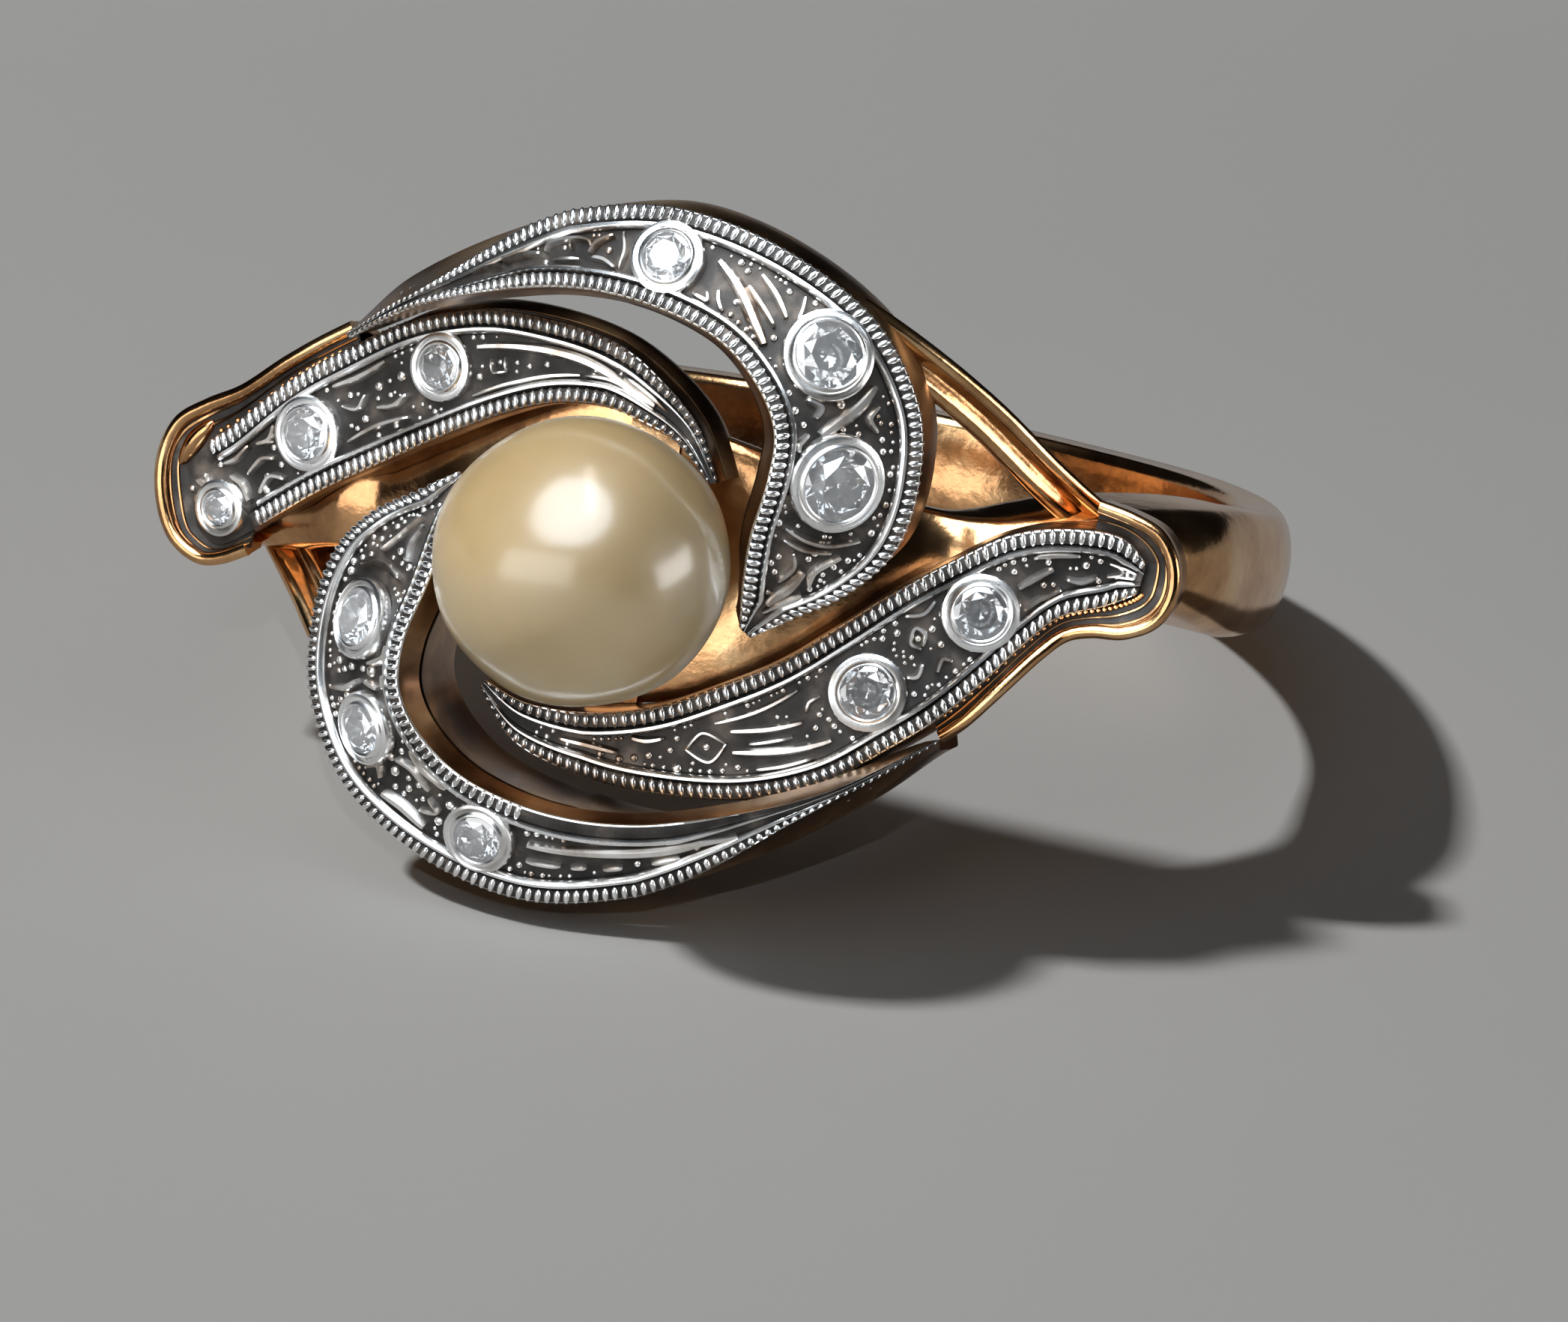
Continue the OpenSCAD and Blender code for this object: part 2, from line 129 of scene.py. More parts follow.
def hang(name, data, azimuth, elevation, distance, aim):
    """Hangs a lamp aimed at a place on the ring. Azimuth 0 is the camera's side, and 90 the right."""
    lamp = bpy.data.objects.new(name, data)
    bpy.context.scene.collection.objects.link(lamp)
    a, e = math.radians(azimuth), math.radians(elevation)
    away = Vector((math.sin(a) * math.cos(e), -math.cos(a) * math.cos(e), math.sin(e)))
    lamp.location = Vector(laid(aim)) + away * distance
    lamp.rotation_euler = away.to_track_quat("Z", "Y").to_euler()
    return lamp


def soft_box(
    name, azimuth, elevation, distance, size, power,
    lights=True, shines=True, shape="RECTANGLE", tint=(1, 1, 1),
):
    """A soft box that lights the ring, shines in it as a reflection, or does both."""
    data = bpy.data.lights.new(name, "AREA")
    data.shape = shape
    data.size, data.size_y = size
    data.energy = power
    data.color = tint
    lamp = hang(name, data, azimuth, elevation, distance, pearl_middle)
    lamp.visible_diffuse = lights
    lamp.visible_glossy = shines


soft_box("left_key_lamp", -75, 52, 0.6, (0.04, 0.04), 2.8, shines=False)
soft_box("front_fill_box", -4, 52, 0.5, (0.22, 0.20), 0.07)
soft_box(
    "round_box", -6, 62.6, 0.5, (0.58, 0.58), 7.0, lights=False, shape="ELLIPSE", tint=(0.80, 0.90, 1.0)
)
soft_box("low_card", -17, 11, 0.5, (0.5, 0.25), 1.3, lights=False)
soft_box("right_card", 95, 8, 0.5, (0.3, 0.16), 1.0, lights=False)
soft_box("top_strip", 20, 84, 0.5, (0.06, 0.4), 0.5, lights=False)

# A narrow beam from the front falls on the head of the ring.
beam_data = bpy.data.lights.new("front_beam", "SPOT")
beam_data.energy = 1.9
beam_data.spot_size = math.radians(1.8)
beam_data.spot_blend = 0.5
beam_data.shadow_soft_size = 0.003
head_middle = (-0.6, 0.2, 10.5)
beam = hang("front_beam", beam_data, 15, 36, 0.4, head_middle)
beam.visible_glossy = False

# A dim room round the table, lighter overhead.
world = bpy.data.worlds.new("studio")
world.use_nodes = True
bpy.context.scene.world = world
nodes, links = world.node_tree.nodes, world.node_tree.links
height = nodes.new("ShaderNodeSeparateXYZ")
links.new(nodes.new("ShaderNodeTexCoord").outputs["Generated"], height.inputs[0])
sky = nodes.new("ShaderNodeValToRGB")
colour_steps(sky, (0.0, 0.03), (0.50, 0.05), (0.62, 0.12), (0.80, 0.55), (1.0, 0.8))
links.new(height.outputs["Z"], sky.inputs["Fac"])
links.new(sky.outputs["Color"], nodes["Background"].inputs["Color"])
nodes["Background"].inputs["Strength"].default_value = 0.11
bpy.context.scene.view_settings.view_transform = "Standard"


# Gold shank
# The finger hoop of reddish yellow gold, cast and polished: narrow at the back, swollen at the
# shoulders, and flattened into two plates below the pearl. Its outside is domed, its inside smooth.
def along(rows, places):
    """Points of a smooth curve through the rows of a table, at row numbers that may be fractions."""
    rows = np.asarray(rows, float)
    s = np.atleast_1d(np.asarray(places, float))
    i = np.clip(np.floor(s), 0, len(rows) - 2).astype(int)
    u = (s - i)[:, None]
    a, b = rows[np.maximum(i - 1, 0)], rows[i]
    c, d = rows[i + 1], rows[np.minimum(i + 2, len(rows) - 1)]
    return (2 * b + u * (c - a) + u**2 * (2 * a - 5 * b + 4 * c - d) + u**3 * (3 * b - a - 3 * c + d)) / 2


def skin(loops, closed=False):
    """Faces round a row of equal loops of points, with both ends closed, or joined into a ring."""
    loops = np.asarray(loops, float)
    rings, n = loops.shape[:2]
    faces = []
    for i in range(rings if closed else rings - 1):
        k = (i + 1) % rings
        faces += [(i * n + j, i * n + (j + 1) % n, k * n + (j + 1) % n, k * n + j) for j in range(n)]
    if not closed:
        faces += [tuple(range(n))[::-1], tuple(range((rings - 1) * n, rings * n))]
    return loops.reshape(-1, 3), faces


def make_piece(name, parts, materials, stands_for=(), sharp=35.0):
    """One piece from parts of (points, faces, number of its material), riding on the ring."""
    points, faces, numbers = [], [], []
    start = 0
    for part_points, part_faces, number in parts:
        points.append(np.asarray(part_points))
        faces += [tuple(start + k for k in f) for f in part_faces]
        numbers += [number] * len(part_faces) if isinstance(number, int) else list(number)
        start += len(part_points)
    mesh = bpy.data.meshes.new(name)
    mesh.from_pydata(laid(np.concatenate(points)).tolist(), [], faces)
    mesh.polygons.foreach_set("material_index", numbers)
    work = bmesh.new()
    work.from_mesh(mesh)
    bmesh.ops.recalc_face_normals(work, faces=work.faces)
    work.to_mesh(mesh)
    work.free()
    mesh.polygons.foreach_set("use_smooth", [True] * len(mesh.polygons))
    mesh.set_sharp_from_angle(angle=math.radians(sharp))
    for material in materials:
        mesh.materials.append(material)
    piece = bpy.data.objects.new(name, mesh)
    bpy.context.scene.collection.objects.link(piece)
    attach(piece, "root")
    if stands_for:
        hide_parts(*stands_for)


def uneven_polish(finish, grain, smooth, rough):
    """Makes a finish shiny where its grain is dark, and dull where it is light."""
    nodes, links = finish.node_tree.nodes, finish.node_tree.links
    rub = nodes.new("ShaderNodeMapRange")
    rub.inputs["To Min"].default_value = smooth
    rub.inputs["To Max"].default_value = rough
    links.new(grain.outputs["Fac"], rub.inputs["Value"])
    links.new(rub.outputs["Result"], nodes["Principled BSDF"].inputs["Roughness"])


polished_gold, wear = new_finish(
    "polished_gold", 420, 6,
    [(0.32, (0.27, 0.13, 0.058)), (0.52, (0.58, 0.325, 0.15)), (0.72, (0.84, 0.575, 0.31))],
    {"Metallic": 1.0},
)
wear.inputs["Roughness"].default_value = 0.65
uneven_polish(polished_gold, wear, 0.08, 0.26)

# Fine scratches all over the polished gold.
nodes, links = polished_gold.node_tree.nodes, polished_gold.node_tree.links
scratches = nodes.new("ShaderNodeTexNoise")
scratches.inputs["Scale"].default_value = 2600
scratches.inputs["Detail"].default_value = 4
links.new(nodes.new("ShaderNodeTexCoord").outputs["Object"], scratches.inputs["Vector"])
scratch_bump = nodes.new("ShaderNodeBump")
scratch_bump.inputs["Strength"].default_value = 0.25
scratch_bump.inputs["Distance"].default_value = 0.00004
links.new(scratches.outputs["Fac"], scratch_bump.inputs["Height"])
links.new(scratch_bump.outputs["Normal"], nodes["Principled BSDF"].inputs["Normal"])

hole_r = 8.6
back_r = 9.85
# Columns: angle from the pearl, outer radius, the lower and the upper edge along the finger.
shank_rows = [
    (1, back_r - 0.82, -3.00, 2.40), (12, back_r - 0.78, -2.50, 2.10), (23, back_r - 0.65, -1.60, 1.75),
    (34, back_r - 0.45, -0.90, 1.50), (39, back_r, -0.45, 1.55), (44, back_r + 0.25, 0.00, 1.75),
    (50, back_r + 0.80, 0.20, 1.95), (57, back_r + 1.05, 0.30, 2.02), (66, back_r + 0.85, -0.10, 2.02),
    (76, back_r + 0.40, -0.52, 1.90), (88, back_r + 0.12, -0.66, 1.65), (105, back_r, -0.80, 1.38),
    (130, back_r, -0.90, 1.20), (155, back_r, -0.94, 1.02), (180, back_r, -0.95, 0.95),
]
half_shank = along(shank_rows, np.linspace(0, len(shank_rows) - 1, 136))
other_half = half_shank[-2::-1][:, (0, 1, 3, 2)] * (-1, 1, -1, -1) + (360, 0, 0, 0)
dome_share = 0.36
# Columns: height over the finger hole and share of the half width, from the side to the inside.
inner_edge = [(0.22, 1.0), (0.10, 1.0), (0.03, 0.95), (0.0, 0.8)]
shank_loops = []
for angle, outer_r, lower, upper in np.concatenate([half_shank, other_half]):
    dome = (outer_r - hole_r) * dome_share
    half_width, centre = (upper - lower) / 2, (upper + lower) / 2
    profile = [(hole_r + h, half_width * k) for h, k in inner_edge[1::-1]]
    profile += [
        (outer_r - dome + dome * math.sin(t), half_width * math.cos(t)) for t in np.linspace(0, math.pi, 15)
    ]
    profile += [(hole_r + h, -half_width * k) for h, k in inner_edge]
    profile += [(hole_r + h, half_width * k) for h, k in inner_edge[:1:-1]]
    turn = math.radians(angle)
    shank_loops.append([(r * math.sin(turn), centre + a, r * math.cos(turn)) for r, a in profile])
make_piece("shank", [(*skin(shank_loops), 0)], [polished_gold], ("gold_frame",), 60)


# Gold ribs and scroll ends
# Two grooved ribs run from the shoulders to the outer scrolls. A rolled lip goes round the end of each
# inner scroll and on along its far edge, as far as the outer scroll. They are soldered to the shank.
def headings(rows, places, step=0.2):
    """Unit directions along the curve through a table's rows."""
    last = len(rows) - 1
    ahead = along(rows, np.minimum(places + step, last)) - along(rows, np.maximum(places - step, 0))
    return ahead / np.linalg.norm(ahead, axis=1)[:, None]


def upright_bar(rows, count, profile):
    """A bar along the curve through rows, from (left of the curve, height) pairs that stay upright."""
    places = np.linspace(0, len(rows) - 1, count)
    ahead = headings(rows, places)
    left = np.stack([-ahead[:, 1], ahead[:, 0], 0 * ahead[:, 0]], 1)
    left /= np.linalg.norm(left, axis=1)[:, None]
    middles = along(rows, places)
    return (*skin([[m + d * v + (0, 0, h) for v, h in profile] for m, d in zip(middles, left)]), 0)


rib_rows = [
    (8.60, 0.90, 5.30), (7.90, 1.55, 6.30), (6.95, 2.40, 7.35), (5.90, 3.40, 8.35), (4.80, 4.25, 9.30),
    (3.70, 4.90, 10.00), (2.70, 5.30, 10.35),
]
left_rib_in = 0.45
left_rib_rows = [
    (left_rib_in * math.sin(math.radians(30 * i)) - x, -y, z) for i, (x, y, z) in enumerate(rib_rows)
]
rib_half = 0.425
rib_depth = 1.3
# Columns: share of the half width to the right, height over the rib's line.
rib_profile = [
    (-1.0, -rib_depth), (-1.0, -0.10), (-0.95, -0.02), (-0.85, 0.04), (-0.68, 0.08), (-0.50, 0.07),
    (-0.32, 0.00), (-0.16, -0.11), (0.0, -0.16), (0.16, -0.11), (0.32, 0.00), (0.50, 0.07), (0.68, 0.08),
    (0.85, 0.04), (0.95, -0.02), (1.0, -0.10), (0.25, -rib_depth),
]
rib_profile = [(-rib_half * v, h) for v, h in rib_profile]
make_piece("ribs", [
    upright_bar(rows, 61, rib_profile) for rows in (rib_rows, left_rib_rows)
], [polished_gold], (), 50)

left_lip_rows = [
    (-7.80, -1.87, 7.55), (-8.35, -2.17, 7.40), (-8.82, -2.24, 7.30), (-9.34, -1.95, 7.25),
    (-9.69, -1.32, 7.20), (-9.80, -0.55, 7.20), (-9.58, 0.15, 7.25), (-9.03, 0.60, 7.35),
    (-8.35, 1.02, 7.50), (-7.59, 1.70, 7.70), (-6.95, 2.22, 7.80), (-6.38, 2.64, 7.82),
]
right_lip_rows = [
    (8.05, 2.18, 7.55), (8.68, 2.06, 7.45), (9.20, 1.84, 7.35), (9.52, 1.35, 7.30), (9.58, 0.78, 7.30),
    (9.36, 0.28, 7.35), (8.85, -0.02, 7.42), (8.28, -0.10, 7.48), (7.80, -0.28, 7.52), (7.41, -0.70, 7.72),
    (6.85, -1.47, 7.95), (6.35, -2.12, 8.00), (5.95, -2.50, 7.95),
]
lip_r = 0.13
lip_depth = 1.6
lip_lean = 0.28
# The lip's skirt leans in to its foot, and its top is rolled round.
lip_profile = [
    (-lip_r, -0.55), (-lip_depth * lip_lean, -lip_depth), (-lip_depth * lip_lean / 2, -lip_depth * 0.8),
    (0.05, -lip_depth / 2), (lip_r * 0.8, -lip_r * 1.2),
]
lip_turns = np.linspace(-0.3, math.pi + 0.3, 11)
lip_profile += [(lip_r * math.cos(t), lip_r * math.sin(t) * 0.9) for t in lip_turns]
make_piece("end_lips", [
    upright_bar(rows, 111, lip_profile) for rows in (left_lip_rows, right_lip_rows)
], [polished_gold], (), 50)


# Gold walls below the scrolls
# Each white scroll lies on a wall of gold, soldered to the frame, that stands out a little at its
# foot. Its colour is a browner, darker copy of the polished gold: painted shade below the scrolls.
# It is also duller.
shade_painted_gold, shade_painted_gold_grain = new_finish(
    "shade_painted_gold", 650, 5,
    [(0.34, (0.10, 0.052, 0.028)), (0.52, (0.27, 0.155, 0.08)), (0.68, (0.52, 0.34, 0.18))],
    {"Metallic": 1.0},
)
uneven_polish(shade_painted_gold, shade_painted_gold_grain, 0.22, 0.42)


class Scroll:
    """A tapering ribbon through rows of far edge x, y, z and near edge x, y, z."""

    def __init__(self, rows, half_turn=False):
        self.rows = np.asarray(rows, float)
        self.sign = (-1, -1, 1) if half_turn else (1, 1, 1)
        self.last = len(rows) - 1

    def frame(self, places):
        """Far edge, unit vectors across and up, and the width."""
        s = np.atleast_1d(np.asarray(places, float))
        edge = along(self.rows, s)
        far, near = edge[:, :3], edge[:, 3:]
        middles = (self.rows[:, :3] + self.rows[:, 3:]) / 2
        ahead = headings(middles, s)
        over = near - far
        width = np.linalg.norm(over, axis=1)
        over = over / width[:, None]
        up = np.cross(over, ahead)
        up /= np.linalg.norm(up, axis=1)[:, None]
        return far, over, up, width

    def at(self, places, inwards, height, share=False):
        """Points at distances in from the far edge (or shares of the width) and heights over the rims."""
        far, over, up, width = self.frame(places)
        v = np.asarray(inwards, float)
        if share:
            v = v * width
        return (far + over * np.reshape(v, (-1, 1)) + up * np.reshape(height, (-1, 1))) * self.sign


outer_rows = [
    (-6.38, 2.68, 8.62, -6.20, 2.56, 8.70), (-5.20, 4.00, 9.62, -4.62, 3.60, 10.10),
    (-3.40, 5.25, 10.65, -2.90, 4.30, 11.20), (-1.70, 6.05, 11.20, -1.40, 4.70, 11.75),
    (0.30, 6.50, 11.50, 0.10, 4.75, 12.05), (2.40, 6.15, 11.40, 1.55, 4.45, 12.20),
    (4.20, 5.20, 11.10, 2.50, 3.85, 12.35), (5.20, 3.80, 10.75, 3.08, 3.05, 12.45),
    (5.45, 2.40, 10.65, 3.15, 2.12, 12.50), (5.25, 1.10, 10.70, 2.95, 1.10, 12.30),
    (4.60, 0.20, 11.00, 2.85, 0.30, 12.00), (3.70, -0.45, 11.15, 2.80, -0.25, 11.70),
    (2.95, -0.95, 11.20, 2.80, -0.80, 11.40),
]
left_rows = [
    (-9.40, -0.62, 7.32, -9.02, -1.74, 7.32), (-8.97, -0.10, 7.48, -8.46, -1.95, 7.48),
    (-8.45, 0.35, 7.70, -7.55, -1.32, 7.80), (-7.40, 1.45, 8.05, -6.57, -0.53, 8.20),
    (-6.30, 2.30, 8.40, -5.40, 0.27, 8.60), (-5.00, 3.15, 8.85, -4.25, 1.02, 9.05),
    (-3.60, 3.65, 9.20, -3.03, 1.76, 9.40), (-2.20, 3.76, 9.50, -1.98, 2.24, 9.60),
    (-0.90, 3.62, 9.65, -0.97, 2.42, 9.75), (0.10, 3.13, 9.80, -0.13, 2.30, 9.80),
    (0.95, 2.45, 9.85, 0.62, 2.05, 9.85), (1.50, 1.50, 9.85, 1.35, 1.45, 9.85),
]
right_rows = [
    (8.98, 0.72, 7.38, 9.05, 1.28, 7.38), (8.45, 0.38, 7.53, 8.55, 1.70, 7.53),
    (7.72, 0.05, 7.80, 7.60, 1.70, 7.90), (7.22, -0.52, 8.05, 6.65, 1.42, 8.20),
    (6.66, -1.30, 8.35, 5.75, 0.80, 8.50), (6.02, -2.10, 8.70, 4.90, 0.10, 8.85),
    (5.26, -2.80, 8.95, 4.00, -0.75, 9.15), (4.25, -3.61, 9.20, 3.10, -1.55, 9.40),
    (2.97, -4.14, 9.45, 2.10, -2.20, 9.60), (1.50, -4.37, 9.60, 1.00, -2.80, 9.70),
    (-0.02, -4.36, 9.70, -0.20, -3.15, 9.80), (-1.47, -3.97, 9.80, -1.40, -3.20, 9.80),
    (-2.30, -3.10, 9.80, -2.20, -2.95, 9.80),
]
# The bottom scroll is the top one after half a turn, but its start keeps closer to the right scroll.
bottom_rows = [
    (-6.24, 2.56, 8.60, -6.08, 2.45, 8.67), (-5.14, 3.92, 9.60, -4.60, 3.57, 10.08), *outer_rows[2:],
]
scrolls = {
    "top": Scroll(outer_rows), "bottom": Scroll(bottom_rows, True),
    "left": Scroll(left_rows), "right": Scroll(right_rows),
}
scroll_t = 0.55
metal_gap = 0.06
foot_flare = 0.14
far_wall, near_wall, inner_wall = 1.3, 1.9, 1.5
# Where an outer scroll passes over a lower one, its gold stands back below its near edge.
near_inset, inset_end, inset_share = 0.3, 3.7, 0.4
# Columns: share of the wall's height from its foot, share of the flare.
flare_steps = [(0.0, 0.8), (0.1, 1.0), (0.4, 1.0), (0.75, 0.6)]


def inner_foot(edge):
    """Foot of the wall below an inner scroll's edge, cut short by the finger hole."""
    return max(math.sqrt(max(hole_r**2 - edge[0] ** 2, 4)) + 0.1, edge[2] - scroll_t - inner_wall)


walls = []
for name, scroll in scrolls.items():
    places = np.linspace(0, scroll.last, 12 * scroll.last + 1)
    far, over, up, width = scroll.frame(places)
    outer = name in ("top", "bottom")
    inset = np.minimum(near_inset * np.clip(inset_end - places, 0, 1), inset_share * width) * outer
    loops = []
    for f, n, u, x, k in zip(far, far + over * width[:, None], up, over, inset):
        if outer:
            far_foot, near_foot = f[2] - scroll_t - far_wall, n[2] - scroll_t - near_wall
        else:
            far_foot, near_foot = inner_foot(f), inner_foot(n)
        f, n = f - u * (scroll_t + metal_gap), n - u * (scroll_t + metal_gap) - x * k
        out = np.append((f - n)[:2], 0)
        out = out / np.linalg.norm(out) * foot_flare
        foot = np.array((f[0], f[1], far_foot))
        loops.append(np.array([
            f + out * 0.1, n, n - (0, 0, 0.2), (n[0], n[1], near_foot),
            *[foot + (0, 0, (f[2] - far_foot) * rise) + out * share for rise, share in flare_steps],
        ]) * scroll.sign)
    walls.append((*skin(loops), 0))
make_piece("scroll_walls", walls, [shade_painted_gold], (), 50)


# Cup and peg of the pearl
# A gold bar joins the two plates below the pearl and carries a small turned cup, all soldered. The
# drilled pearl is glued on the peg in the cup.
def lathe(profile, middle=(0, 0, 0), across=(1, 0, 0), ahead=(0, 1, 0), up=(0, 0, 1), sides=48):
    """A turned part from (radius, height) pairs, closed where the radius is 0 at both ends."""
    middle, across, ahead, up = (np.asarray(v, float) for v in (middle, across, ahead, up))
    turns = np.linspace(0, 2 * math.pi, sides, endpoint=False)
    return np.array([
        [middle + (across * math.cos(t) + ahead * math.sin(t)) * r + up * h for r, h in profile]
        for t in turns
    ])


pearl_r = 2.65
bar_half, bar_from, bar_to = 0.5, -3.15, 2.65
bar_corners = [(-bar_half, bar_from), (bar_half, bar_from), (bar_half, bar_to), (-bar_half, bar_to)]
# Columns: height, and share of the full size, so that the bar's upper edge is eased.
bar_steps = [(8.7, 1.0), (9.04, 1.0), (9.08, 0.97)]
bar_loops = [[(x * k, y * k, z) for x, y in bar_corners] for z, k in bar_steps]
cup_r, peg_r, hollow_r = 1.25, 0.35, pearl_r + 0.03
centre_r = 0.001
cup_profile = [(centre_r, 8.8), (1.1, 8.8), (cup_r, 9.0), (cup_r, 10.12), (1.22, 10.21)]
cup_profile += [(r, pearl_middle[2] - math.sqrt(hollow_r**2 - r * r)) for r in (1.14, 0.9, 0.6, 0.36)]
cup_profile += [(peg_r, 9.99), (peg_r, 12.2), (centre_r, 12.2)]
make_piece("pearl_cup", [
    (*skin(bar_loops), 0), (*skin(lathe(cup_profile), True), 0),
], [polished_gold], (), 50)


# White scrolls
# Four tapering ribbons of white metal, soldered on the gold walls. Each has a rim with a bright raised
# line inside it, and a near-black sunk floor: darkened with age, and painted darker still as shade.
white_metal, tarnish = new_finish(
    "bright_white_metal", 900, 5,
    [(0.30, (0.58, 0.56, 0.53)), (0.48, (0.88, 0.87, 0.86)), (0.66, (0.97, 0.965, 0.955))],
    {"Metallic": 1.0},
)
uneven_polish(white_metal, tarnish, 0.16, 0.36)
# Floors and grooves: near black, as oxide and as painted shade.
oxide_and_shade_floor, _ = new_finish(
    "oxide_and_painted_shade_floor", 1500, 6,
    [(0.35, (0.014, 0.011, 0.009)), (0.55, (0.05, 0.042, 0.036)), (0.74, (0.20, 0.16, 0.13))],
    {"Metallic": 0.4, "Roughness": 0.55},
)

# Columns: place along the scroll in rows, share of the width from the far edge, radius.
stones = {
    "top": [(4.1, 0.5, 0.50), (6.15, 0.44, 0.66), (8.05, 0.54, 0.72)],
    "bottom": [(8.2, 0.5, 0.56), (6.5, 0.5, 0.50), (4.6, 0.5, 0.50)],
    "left": [(1.22, 0.66, 0.36), (3.12, 0.5, 0.52), (5.3, 0.44, 0.46)],
    "right": [(3.75, 0.5, 0.54), (5.95, 0.46, 0.54)],
}
floor_d = 0.2
# Width of a rim with the line inside it, and how many of these the narrowest full-sized ribbon has.
band = 0.46
bands_across = 2.6
# Depth below the rims where the ribbon's side turns from white metal to gold painted darker as shade.
side_top = 0.34
# Columns: share of the band, height over the rims, and 1 where the next face is dark, painted shade.
rim_steps = [
    (0.00, -0.10, 0), (0.03, -0.065, 0), (0.08, -0.05, 1), (0.56, -0.05, 1), (0.60, -0.08, 1),
    (0.63, -0.17, 1), (0.66, -0.16, 0), (0.69, -0.06, 0), (0.74, -0.005, 0), (0.85, -0.005, 0),
    (0.93, -0.05, 0), (0.97, -0.13, 1), (1.00, -0.20, 1),
]


def white_part(name, scroll, places):
    """The white ribbon at each place: far edge, directions, width, and how high its two rims stand."""
    far, over, up, width = scroll.frame(places)
    setback = np.zeros(len(far))
    far_rim = near_rim = np.ones(len(far))
    if name in ("top", "bottom"):
        setback = width * np.interp(places, (0, 1, 1.5, 2, 2.5, 3), (0.75, 0.7, 0.5, 0.27, 0.1, 0))
    if name == "left":
        far_rim, near_rim = np.interp(places, (1.0, 1.6), (0, 1)), np.interp(places, (1.7, 2.2), (0, 1))
    return far + over * setback[:, None], over, up, width - setback, setback, far_rim, near_rim


for name, scroll in scrolls.items():
    places = np.linspace(0, scroll.last, 16 * scroll.last + 1)
    loops, numbers = [], []
    for f, x, u, w, back, far_rim, near_rim in zip(*white_part(name, scroll, places)):
        size = min(1, w / (bands_across * band))
        low = -floor_d * size
        edge = [(a * band * size, h * (size if h < -0.06 else 1)) for a, h, _ in rim_steps]
        profile = [(-back, -scroll_t), (-back, -side_top)]
        profile += [(a, low + (h - low) * far_rim) for a, h in edge]
        profile += [(band * size + (w - 2 * band * size) * k, low) for k in (0.25, 0.5, 0.75)]
        profile += [(w - a, low + (h - low) * near_rim) for a, h in edge[::-1]]
        profile += [(w, -side_top), (w, -scroll_t)]
        loops.append([(f + x * a + u * h) * scroll.sign for a, h in profile])
        # Each face's finish: 0 bright, 1 dark floor with painted shade, 2 gold painted darker as shade.
        shades = [d for _, _, d in rim_steps]
        far_shades = shades if far_rim > 0.5 else [1] * len(shades)
        near_shades = shades[:-1][::-1] if near_rim > 0.5 else [1] * (len(shades) - 1)
        numbers += [2, 2, *far_shades, 1, 1, 1, *near_shades, 2, 2, 2]
    points, faces = skin(loops)
    numbers = numbers[:len(faces) - 2] + [2, 2]
    seats = [(scroll.at([s], [v], [0], True)[0], r) for s, v, r in stones[name]]
    keep = []
    for k, face in enumerate(faces):
        middle = points[list(face)].mean(0)
        if all(np.linalg.norm(middle - seat) > r + 0.05 for seat, r in seats):
            keep.append(k)
    make_piece(name + "_scroll_ribbon", [
        (points, [faces[k] for k in keep], [numbers[k] for k in keep]),
    ], [white_metal, oxide_and_shade_floor, shade_painted_gold], (name + "_scroll",), 40)


# Milgrain
# A row of small beads along both rims of every scroll, in the same white metal. They are rolled in with
# a knurled wheel, so they are longer across the rim than along it.
bead_pitch = 0.178
bead_wide, bead_long, bead_high = 0.155, 0.066, 0.08
# Share of the band where the bead row runs, and where the bottom scroll's near row begins.
bead_place = 0.31
bottom_beads_from = 4.2
bead_turns = np.arange(0, 2 * math.pi - 0.01, math.pi / 5)
bead_points, bead_faces = skin([
    [(k * math.cos(t), k * math.sin(t), lift) for t in bead_turns]
    for lift, k in ((lift, math.sqrt(1 - lift * lift)) for lift in (-0.6, 0.0, 0.55, 0.9))
])
for name, scroll in scrolls.items():
    beads = []
    for near_side in (False, True):
        def bead_line(places):
            """The middle of the bead row, its directions, and the rim's size and strength."""
            far, over, up, width, _, far_rim, near_rim = white_part(name, scroll, places)
            size = np.minimum(1, width / (bands_across * band))
            inwards = width - bead_place * band * size if near_side else bead_place * band * size
            return far + over * inwards[:, None], over, up, size, near_rim if near_side else far_rim

        fine = np.linspace(0, scroll.last, 40 * scroll.last + 1)
        line = bead_line(fine)[0]
        reach = np.concatenate([[0], np.cumsum(np.linalg.norm(np.diff(line, axis=0), axis=1))])
        count = int(reach[-1] / bead_pitch)
        spots = np.interp(np.arange(0.5, count) * reach[-1] / count, reach, fine)
        if name == "bottom" and near_side:
            spots = spots[spots > bottom_beads_from]
        for m, x, u, k, strength in zip(*bead_line(spots)):
            if strength > 0.3:
                y = np.cross(u, x)
                shaped = m - u * (0.055 + 0.1 * (1 - strength)) + bead_points[:, :1] * x * bead_wide * k
                shaped = shaped + bead_points[:, 1:2] * y * bead_long + bead_points[:, 2:] * u * bead_high
                beads.append((shaped * scroll.sign, bead_faces, 0))
    make_piece(name + "_milgrain", beads, [white_metal], (), 60)


# Carved ornament
# The sunk floors are carved with leaves, curls and bars, with punched grains between them. They are
# of the same white metal, rubbed bright on top.
relief_metal, _ = new_finish(
    "rubbed_relief", 1100, 5,
    [(0.34, (0.36, 0.28, 0.22)), (0.46, (0.80, 0.75, 0.70)), (0.60, (0.96, 0.945, 0.92))],
    {"Metallic": 1.0, "Roughness": 0.3},
)
relief_foot = 0.01 - floor_d
ridge_scale, grain_scale = 1.45, 1.3


